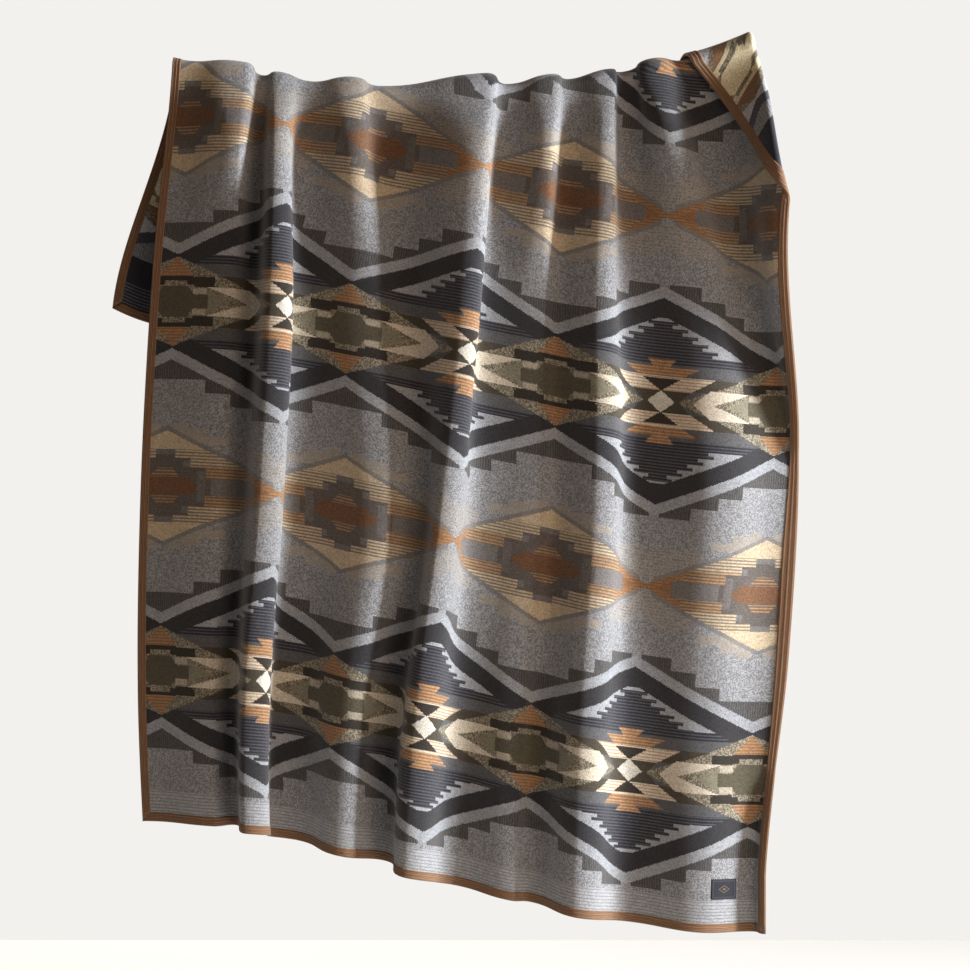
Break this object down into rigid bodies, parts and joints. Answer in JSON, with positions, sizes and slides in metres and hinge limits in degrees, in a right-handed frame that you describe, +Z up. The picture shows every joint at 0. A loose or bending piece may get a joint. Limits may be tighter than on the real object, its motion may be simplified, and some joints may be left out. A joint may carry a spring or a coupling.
{
  "type": "camp blanket",
  "caption": "Bound wool jacquard blanket hanging over a sagging rope in soft vertical folds, with a long front drop, a short rear drop and a turned-over top corner.",
  "frame": {"origin": "on the axis of the rope that the blanket hangs over, at the middle of the ridge", "axes": "+X runs along the rope to the right as seen from the front, -Y faces the front, where the long drop hangs, +Z is up"},
  "size_m": [1.3734, 0.2659, 1.7925],
  "materials": {
    "woven_wool": "soft napped jacquard weave in grey, charcoal, cream, olive and rust",
    "binding_tape": "tan ribbed tape",
    "stitching_thread": "brown sewing thread",
    "label_weave": "dark navy fine weave, blank",
    "label_thread": "slate sewing thread"
  },
  "bodies": {
    "root": {"woven_panel": "woven_wool", "left_binding": "binding_tape", "right_binding": "binding_tape", "front_hem_binding": "binding_tape", "rear_hem_binding": "binding_tape", "left_stitching": "stitching_thread", "right_stitching": "stitching_thread", "front_hem_stitching": "stitching_thread", "rear_hem_stitching": "stitching_thread", "label": "label_weave", "label_stitching": "label_thread"}
  },
  "joints": []
}
